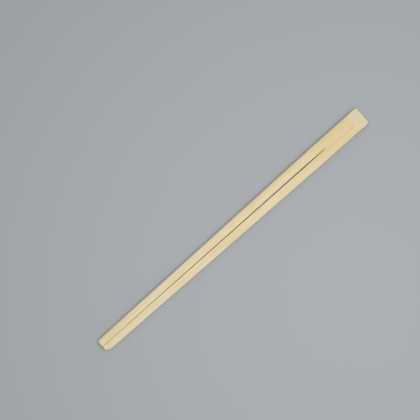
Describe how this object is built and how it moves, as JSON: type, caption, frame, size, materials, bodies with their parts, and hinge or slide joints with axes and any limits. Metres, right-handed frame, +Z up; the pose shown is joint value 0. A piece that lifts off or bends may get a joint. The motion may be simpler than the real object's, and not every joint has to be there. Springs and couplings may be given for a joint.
{
  "type": "bamboo chopsticks",
  "caption": "Disposable twin bamboo chopsticks with a slant-cut head, sawn apart from the tips but still joined at the head, to be pulled apart before eating.",
  "frame": {"origin": "on the underside, below the middle of the pair's overall box", "axes": "+X from the tips to the head, along the saw cut; +Y across both sticks; +Z up from the surface that the pair lies on"},
  "size_m": [0.24, 0.0138, 0.005],
  "materials": {
    "bamboo": "planed and sanded, uncoated, matt, with fine lengthwise fibres"
  },
  "bodies": {
    "root": {"twin_chopsticks": "bamboo"}
  },
  "joints": []
}
